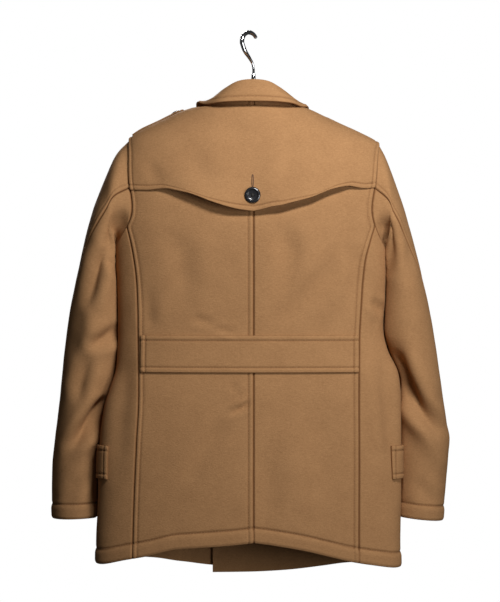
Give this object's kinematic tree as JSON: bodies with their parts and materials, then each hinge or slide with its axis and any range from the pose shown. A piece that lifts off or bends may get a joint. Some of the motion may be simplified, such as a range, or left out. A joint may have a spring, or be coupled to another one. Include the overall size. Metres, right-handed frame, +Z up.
{
  "type": "pea coat on a hanger",
  "caption": "Camel wool double-breasted pea coat with storm flap, half belt and epaulettes, hanging closed on a plain hanger with a chrome hook",
  "frame": {"origin": "the top of the inside of the hook, where it rests on a rail", "axes": "+X to the wearer's right, +Y out of the front of the coat, +Z up; the back faces -Y"},
  "size_m": [0.6912, 0.2073, 0.9435],
  "materials": {
    "wool": "matt napped wool melton",
    "button": "gloss",
    "hanger_wood": "satin varnish",
    "chrome": "polished"
  },
  "bodies": {
    "root": {"back_left": "wool", "back_right": "wool", "side_left": "wool", "side_right": "wool", "front_left": "wool", "front_right": "wool", "storm_flap": "wool", "half_belt": "wool", "collar_fall": "wool", "collar_stand": "wool", "lapel_left": "wool", "lapel_right": "wool", "top_sleeve_left": "wool", "top_sleeve_right": "wool", "under_sleeve_left": "wool", "under_sleeve_right": "wool", "epaulette_left": "wool", "epaulette_right": "wool", "pocket_flap_left": "wool", "pocket_flap_right": "wool", "storm_flap_button": "button", "epaulette_button_left": "button", "epaulette_button_right": "button", "front_button_left_1": "button", "front_button_left_2": "button", "front_button_left_3": "button", "front_button_right_1": "button", "front_button_right_2": "button", "front_button_right_3": "button", "hanger_body": "hanger_wood", "hanger_hook": "chrome", "hanger_ferrule": "chrome"}
  },
  "joints": []
}
